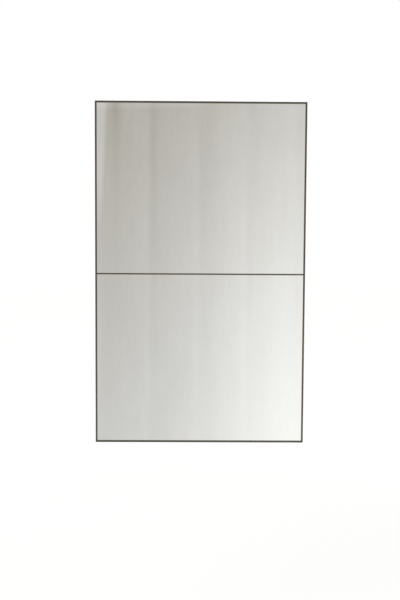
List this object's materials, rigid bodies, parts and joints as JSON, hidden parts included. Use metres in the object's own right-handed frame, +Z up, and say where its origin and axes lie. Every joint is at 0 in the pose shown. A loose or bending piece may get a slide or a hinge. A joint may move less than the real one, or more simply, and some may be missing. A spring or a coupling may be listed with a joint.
{
  "type": "framed wall mirror",
  "caption": "Upright wall mirror of two equal panes divided by a thin rail, in a slim dark bronze metal frame, hung on interlocking Z-section cleats.",
  "frame": {"origin": "centre of the wall cleat's back face, on the wall", "axes": "+X across the mirror, +Y into the wall (the mirror faces -Y), +Z up"},
  "size_m": [0.8, 0.03, 1.3],
  "materials": {
    "frame_bronze": "dark bronze patina, softly brushed along the bars",
    "mirror_silver": "clear silvered float glass",
    "board_fibre": "plain medium-density fibreboard",
    "zinc_steel": "bright zinc plating",
    "cleat_aluminium": "mill finish, drawn lines along its length",
    "black_rubber": "matt black rubber",
    "foam_tape": "closed-cell foam tape"
  },
  "bodies": {
    "wall_cleat": {"wall_cleat": "cleat_aluminium"},
    "mirror": {"frame_top": "frame_bronze", "frame_bottom": "frame_bronze", "frame_left": "frame_bronze", "frame_right": "frame_bronze", "middle_rail": "frame_bronze", "upper_mirror": "mirror_silver", "lower_mirror": "mirror_silver", "gasket_top": "black_rubber", "gasket_bottom": "black_rubber", "gasket_left": "black_rubber", "gasket_right": "black_rubber", "setting_block_left": "black_rubber", "setting_block_right": "black_rubber", "tape_upper_left": "foam_tape", "tape_upper_middle": "foam_tape", "tape_upper_right": "foam_tape", "tape_lower_left": "foam_tape", "tape_lower_middle": "foam_tape", "tape_lower_right": "foam_tape", "backing_board": "board_fibre", "corner_plate_bottom_left": "zinc_steel", "corner_plate_top_left": "zinc_steel", "corner_plate_top_right": "zinc_steel", "corner_plate_bottom_right": "zinc_steel", "screw_top_1": "zinc_steel", "screw_top_2": "zinc_steel", "screw_top_3": "zinc_steel", "screw_bottom_1": "zinc_steel", "screw_bottom_2": "zinc_steel", "screw_bottom_3": "zinc_steel", "screw_left_1": "zinc_steel", "screw_left_2": "zinc_steel", "screw_left_3": "zinc_steel", "screw_left_4": "zinc_steel", "screw_right_1": "zinc_steel", "screw_right_2": "zinc_steel", "screw_right_3": "zinc_steel", "screw_right_4": "zinc_steel", "rail_washer_1": "zinc_steel", "rail_washer_2": "zinc_steel", "rail_washer_3": "zinc_steel", "rail_nut_1": "zinc_steel", "rail_nut_2": "zinc_steel", "rail_nut_3": "zinc_steel", "frame_cleat": "cleat_aluminium", "cleat_screw_1": "zinc_steel", "cleat_screw_2": "zinc_steel", "cleat_screw_3": "zinc_steel", "cleat_screw_4": "zinc_steel", "cleat_screw_5": "zinc_steel", "bumper_left": "black_rubber", "bumper_right": "black_rubber", "bumper_screw_left": "zinc_steel", "bumper_screw_right": "zinc_steel"}
  },
  "joints": [
    {"name": "mirror_lift", "type": "slide", "parent": "wall_cleat", "child": "mirror", "axis": [0, 0, 1], "range_m": [0, 0.014]}
  ]
}
